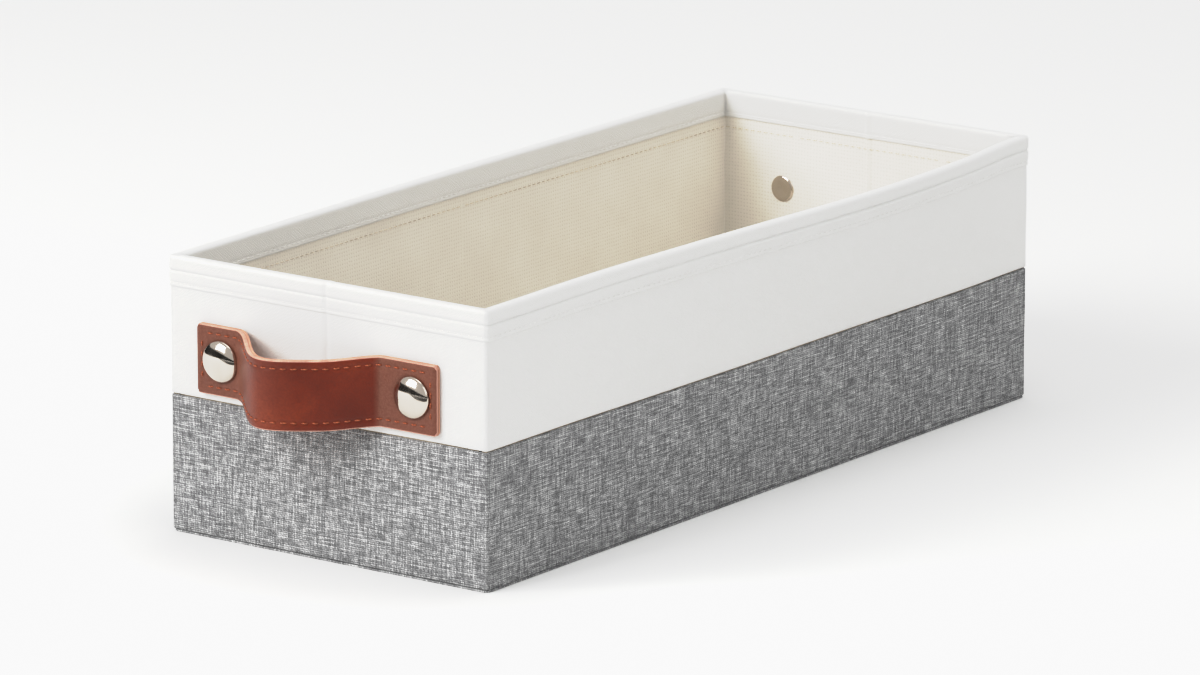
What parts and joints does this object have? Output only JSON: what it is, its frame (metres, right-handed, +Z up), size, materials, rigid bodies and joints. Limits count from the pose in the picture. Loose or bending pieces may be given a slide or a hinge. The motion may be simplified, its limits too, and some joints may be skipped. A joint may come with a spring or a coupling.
{
  "type": "fabric storage bin",
  "caption": "Shallow oblong fabric storage bin, white over grey cloth on card boards, with riveted leather handles; the ends crease inwards to fold it flat.",
  "frame": {"origin": "middle of the underside, on the surface that the bin stands on", "axes": "+Z up, Y along the bin's length with the handled ends facing -Y and +Y, X across it"},
  "size_m": [0.14, 0.382, 0.1],
  "materials": {
    "white_cloth": "matt off-white woven cloth",
    "grey_cloth": "matt heathered grey linen-look cloth",
    "lining_cloth": "matt beige non-woven lining",
    "card": "plain grey-brown board",
    "leather": "smooth satin warm brown leather",
    "leather_backing": "matt pinkish tan split leather",
    "nickel": "polished nickel plate"
  },
  "bodies": {
    "left_wall": {"left_wall_board": "card", "left_wall_upper_cloth": "white_cloth", "left_wall_lower_cloth": "grey_cloth", "left_wall_lining": "lining_cloth", "left_wall_hem": "white_cloth", "floor_cloth": "grey_cloth", "floor_lining": "lining_cloth"},
    "right_wall": {"right_wall_board": "card", "right_wall_upper_cloth": "white_cloth", "right_wall_lower_cloth": "grey_cloth", "right_wall_lining": "lining_cloth", "right_wall_hem": "white_cloth"},
    "front_left": {"front_left_board": "card", "front_left_upper_cloth": "white_cloth", "front_left_lower_cloth": "grey_cloth", "front_left_lining": "lining_cloth", "front_left_hem": "white_cloth", "front_handle_leather": "leather", "front_handle_backing": "leather_backing", "front_left_rivet_cap": "nickel", "front_left_rivet_stud": "nickel"},
    "front_right": {"front_right_board": "card", "front_right_upper_cloth": "white_cloth", "front_right_lower_cloth": "grey_cloth", "front_right_lining": "lining_cloth", "front_right_hem": "white_cloth", "front_right_rivet_cap": "nickel", "front_right_rivet_stud": "nickel"},
    "back_left": {"back_left_board": "card", "back_left_upper_cloth": "white_cloth", "back_left_lower_cloth": "grey_cloth", "back_left_lining": "lining_cloth", "back_left_hem": "white_cloth", "back_handle_leather": "leather", "back_handle_backing": "leather_backing", "back_left_rivet_cap": "nickel", "back_left_rivet_stud": "nickel"},
    "back_right": {"back_right_board": "card", "back_right_upper_cloth": "white_cloth", "back_right_lower_cloth": "grey_cloth", "back_right_lining": "lining_cloth", "back_right_hem": "white_cloth", "back_right_rivet_cap": "nickel", "back_right_rivet_stud": "nickel"},
    "base_board": {"base_board_card": "card", "base_board_cover": "lining_cloth"}
  },
  "joints": [
    {"name": "fold", "type": "hinge", "parent": "left_wall", "child": "front_left", "pos_m": [-0.06545, -0.16295, 0], "axis": [0, 0, 1], "range_deg": [0, 80], "deforming": ["floor_cloth", "floor_lining", "front_handle_leather", "front_handle_backing", "back_handle_leather", "back_handle_backing", "base_board_card", "base_board_cover"]},
    {"name": "front_crease", "type": "hinge", "parent": "front_left", "child": "front_right", "pos_m": [0, -0.16765, 0], "axis": [0, 0, 1], "range_deg": [-160, 0]},
    {"name": "right_wall_swing", "type": "hinge", "parent": "front_right", "child": "right_wall", "pos_m": [0.06545, -0.16295, 0], "axis": [0, 0, 1], "range_deg": [0, 80]},
    {"name": "back_fold", "type": "hinge", "parent": "left_wall", "child": "back_left", "pos_m": [-0.06545, 0.16295, 0], "axis": [0, 0, -1], "range_deg": [0, 80]},
    {"name": "back_crease", "type": "hinge", "parent": "back_left", "child": "back_right", "pos_m": [0, 0.16765, 0], "axis": [0, 0, -1], "range_deg": [-160, 0]},
    {"name": "base_board_lift", "type": "slide", "parent": "left_wall", "child": "base_board", "axis": [0, 0, 1], "range_m": [0, 0.22]}
  ],
  "couplings": [
    {"joint": "front_crease", "follows": "fold", "ratio": -2},
    {"joint": "right_wall_swing", "follows": "fold", "ratio": 1},
    {"joint": "back_fold", "follows": "fold", "ratio": 1},
    {"joint": "back_crease", "follows": "fold", "ratio": -2},
    {"joint": "base_board_lift", "follows": "fold", "m_per_rad": 0.157}
  ]
}
